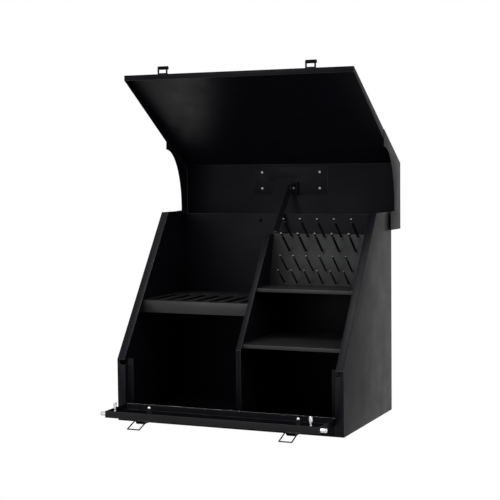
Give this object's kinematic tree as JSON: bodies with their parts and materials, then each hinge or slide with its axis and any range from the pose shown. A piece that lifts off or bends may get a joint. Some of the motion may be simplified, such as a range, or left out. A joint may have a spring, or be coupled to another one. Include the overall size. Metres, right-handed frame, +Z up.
{
  "type": "portable tool box",
  "caption": "Portable sheet-steel tool box with a sloping hinged lid on a gas strut, a drop-down front door with slide bolts, draw latches, shelves, a slotted tool rack and a socket peg board.",
  "frame": {"origin": "centre of the cabinet's underside, where it stands on the floor", "axes": "+Z up, +X to the right seen from the front, +Y to the back; the front door faces -Y"},
  "size_m": [0.584, 0.5378, 0.8431],
  "materials": {
    "black_steel": "satin black powder coat",
    "grey_board": "fine textured grey coat",
    "peg_steel": "dark steel with worn bright tips",
    "bright_steel": "bright plated",
    "hinge_steel": "semi-gloss black coat",
    "dark_hardware": "semi-gloss black coat",
    "handle_steel": "gloss black coat",
    "strut_black": "gloss black coat"
  },
  "bodies": {
    "cabinet": {"side_panel_left": "black_steel", "side_panel_right": "black_steel", "back_panel": "black_steel", "floor_pan": "black_steel", "bottom_rail": "black_steel", "door_jamb_left": "black_steel", "door_jamb_right": "black_steel", "center_divider": "black_steel", "tool_rack": "black_steel", "upper_shelf": "black_steel", "lower_shelf": "black_steel", "socket_board": "grey_board", "large_socket_pegs": "peg_steel", "small_socket_pegs": "peg_steel", "strut_anchor": "dark_hardware", "door_hinge_rail_leaf": "hinge_steel", "door_hinge_pin": "bright_steel", "lid_hinge_back_leaf": "hinge_steel", "lid_hinge_pin": "bright_steel"},
    "lid": {"lid_shell": "black_steel", "lid_edge_left": "black_steel", "lid_edge_right": "black_steel", "lid_skirt_left": "black_steel", "lid_skirt_right": "black_steel", "lid_hinge_top_leaf": "hinge_steel", "lid_bracket": "black_steel", "strut_mount": "strut_black", "strut_mount_stud": "bright_steel", "bracket_rivets": "bright_steel", "keeper_left": "dark_hardware", "keeper_right": "dark_hardware", "keeper_rivets": "bright_steel", "handle_bracket_left": "dark_hardware", "handle_bracket_right": "dark_hardware"},
    "handle": {"carry_handle": "handle_steel"},
    "door": {"door_tray": "black_steel", "door_hinge_tray_leaf": "hinge_steel", "bolt_guide_left": "dark_hardware", "bolt_guide_right": "dark_hardware", "latch_base_left": "dark_hardware", "latch_base_right": "dark_hardware", "latch_spacers": "dark_hardware", "latch_bolts": "bright_steel"},
    "bolt_left": {"slide_bolt_left": "bright_steel", "finger_pin_left": "bright_steel"},
    "bolt_right": {"slide_bolt_right": "bright_steel", "finger_pin_right": "bright_steel"},
    "lever_left": {"latch_lever_left": "dark_hardware"},
    "lever_right": {"latch_lever_right": "dark_hardware"},
    "bail_left": {"latch_bail_left": "dark_hardware"},
    "bail_right": {"latch_bail_right": "dark_hardware"},
    "strut_piston": {"strut_rod": "bright_steel"},
    "strut_cylinder": {"strut_tube": "strut_black", "strut_end": "strut_black"}
  },
  "joints": [
    {"name": "lid_hinge", "type": "hinge", "parent": "cabinet", "child": "lid", "pos_m": [0, 0.1824, 0.45], "axis": [1, 0, 0], "range_deg": [0, 90], "stiffness_Nm_per_rad": 6.5, "springref_deg": -45.84},
    {"name": "handle_pivot", "type": "hinge", "parent": "lid", "child": "handle", "pos_m": [0, 0.245, 0.5374], "axis": [1, 0, 0], "range_deg": [-6, 186]},
    {"name": "door_hinge", "type": "hinge", "parent": "cabinet", "child": "door", "pos_m": [0, -0.1674, 0.037], "axis": [-1, 0, 0], "range_deg": [0, 90]},
    {"name": "bolt_slide_left", "type": "slide", "parent": "door", "child": "bolt_left", "axis": [-1, 0, 0], "range_m": [-0.016, 0.0048]},
    {"name": "bolt_slide_right", "type": "slide", "parent": "door", "child": "bolt_right", "axis": [1, 0, 0], "range_m": [-0.016, 0.0048]},
    {"name": "latch_lever_hinge_left", "type": "hinge", "parent": "door", "child": "lever_left", "pos_m": [-0.1875, -0.246, 0.0175], "axis": [-1, 0, 0], "range_deg": [0, 100]},
    {"name": "bail_hinge_left", "type": "hinge", "parent": "lever_left", "child": "bail_left", "pos_m": [-0.1875, -0.237, 0.0212], "axis": [1, 0, 0], "range_deg": [0, 101]},
    {"name": "latch_lever_hinge_right", "type": "hinge", "parent": "door", "child": "lever_right", "pos_m": [0.1875, -0.246, 0.0175], "axis": [-1, 0, 0], "range_deg": [0, 100]},
    {"name": "bail_hinge_right", "type": "hinge", "parent": "lever_right", "child": "bail_right", "pos_m": [0.1875, -0.237, 0.0212], "axis": [1, 0, 0], "range_deg": [0, 101]},
    {"name": "strut_swing", "type": "hinge", "parent": "cabinet", "child": "strut_piston", "pos_m": [0, 0.02421, 0.325], "axis": [1, 0, 0], "range_deg": [0, 22.37]},
    {"name": "strut_slide", "type": "slide", "parent": "strut_piston", "child": "strut_cylinder", "axis": [0, 0.6726, 0.74], "range_m": [-0.1208, 0]}
  ],
  "couplings": [
    {"joint": "bail_hinge_left", "follows": "latch_lever_hinge_left", "ratio": 1},
    {"joint": "bail_hinge_right", "follows": "latch_lever_hinge_right", "ratio": 1},
    {"joint": "strut_swing", "follows": "lid_hinge", "ratio": 0.24803},
    {"joint": "strut_slide", "follows": "lid_hinge", "m_per_rad": -0.076805}
  ]
}
